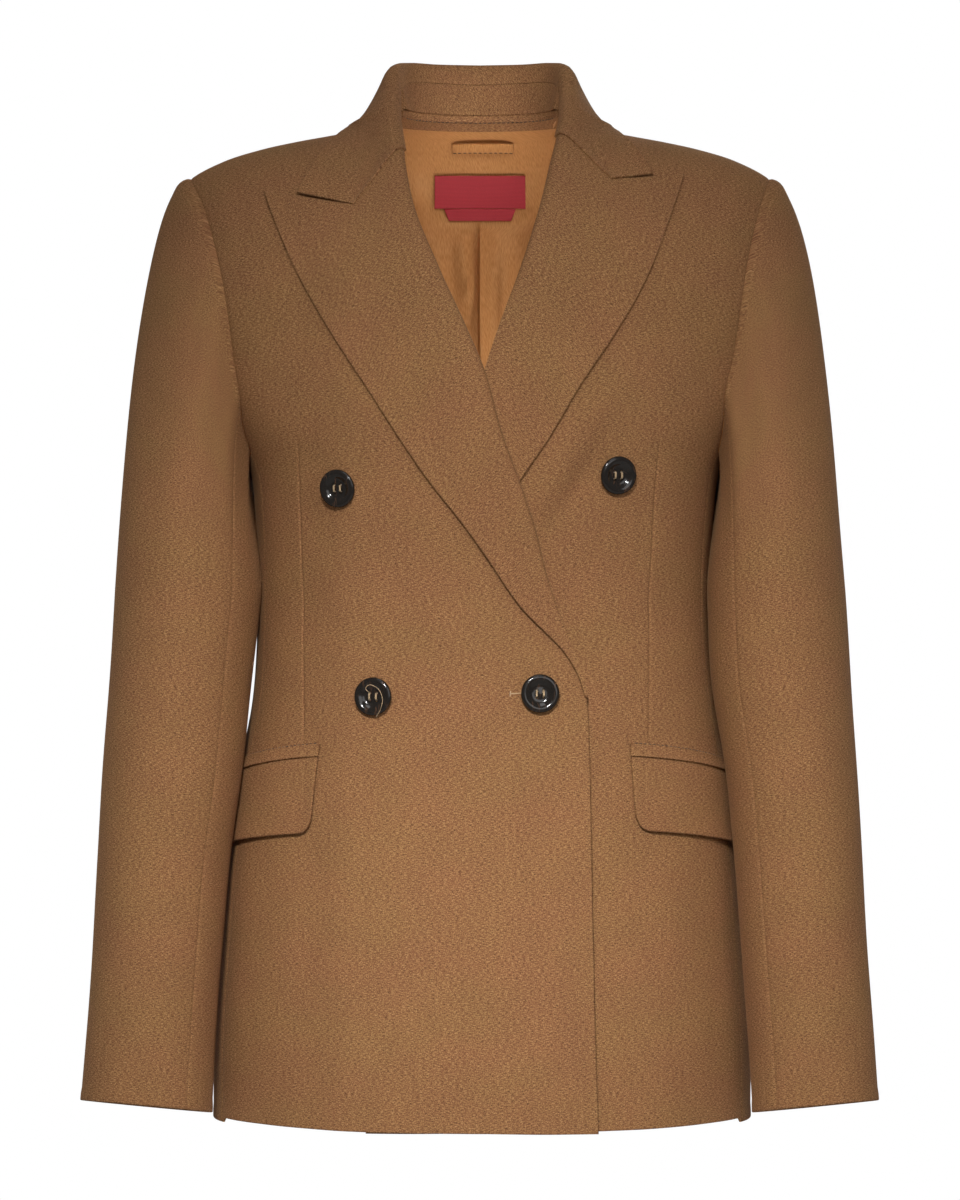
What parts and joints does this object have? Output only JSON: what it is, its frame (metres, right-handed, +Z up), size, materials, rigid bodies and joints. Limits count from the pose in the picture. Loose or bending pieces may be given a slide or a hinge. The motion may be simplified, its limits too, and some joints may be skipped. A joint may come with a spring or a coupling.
{
  "type": "double breasted blazer",
  "caption": "Hollow tailored blazer, filled out as if worn: peak lapels, turned-down collar, overlapping fronts with two rows of buttons, flap pockets, two-piece sleeves.",
  "frame": {"origin": "on the centre plane at the level of the neck's base, where the wearer's shoulders hold the jacket up", "axes": "+X towards the wearer's left, -Y towards the front, +Z up"},
  "size_m": [0.5308, 0.2393, 0.7203],
  "materials": {
    "wool": "camel-brown melange wool, matt with a short nap",
    "satin": "tan satin lining, soft sheen",
    "label": "dark red woven label, bare",
    "horn": "near-black polished horn imitation"
  },
  "bodies": {
    "root": {"front_right": "wool", "front_left": "wool", "side_right": "wool", "side_left": "wool", "back_right": "wool", "back_left": "wool", "sleeve_top_right": "wool", "sleeve_top_left": "wool", "sleeve_under_right": "wool", "sleeve_under_left": "wool", "lapel_right": "wool", "lapel_left": "wool", "collar_fall": "wool", "collar_stand": "wool", "neck_facing": "wool", "flap_right": "wool", "flap_left": "wool", "welt_right": "wool", "welt_left": "wool", "lining_back": "satin", "hanger_loop": "satin", "label": "label", "label_tab": "label", "button_top_right": "horn", "button_top_left": "horn", "button_low_right": "horn", "button_fastened": "horn"}
  },
  "joints": []
}
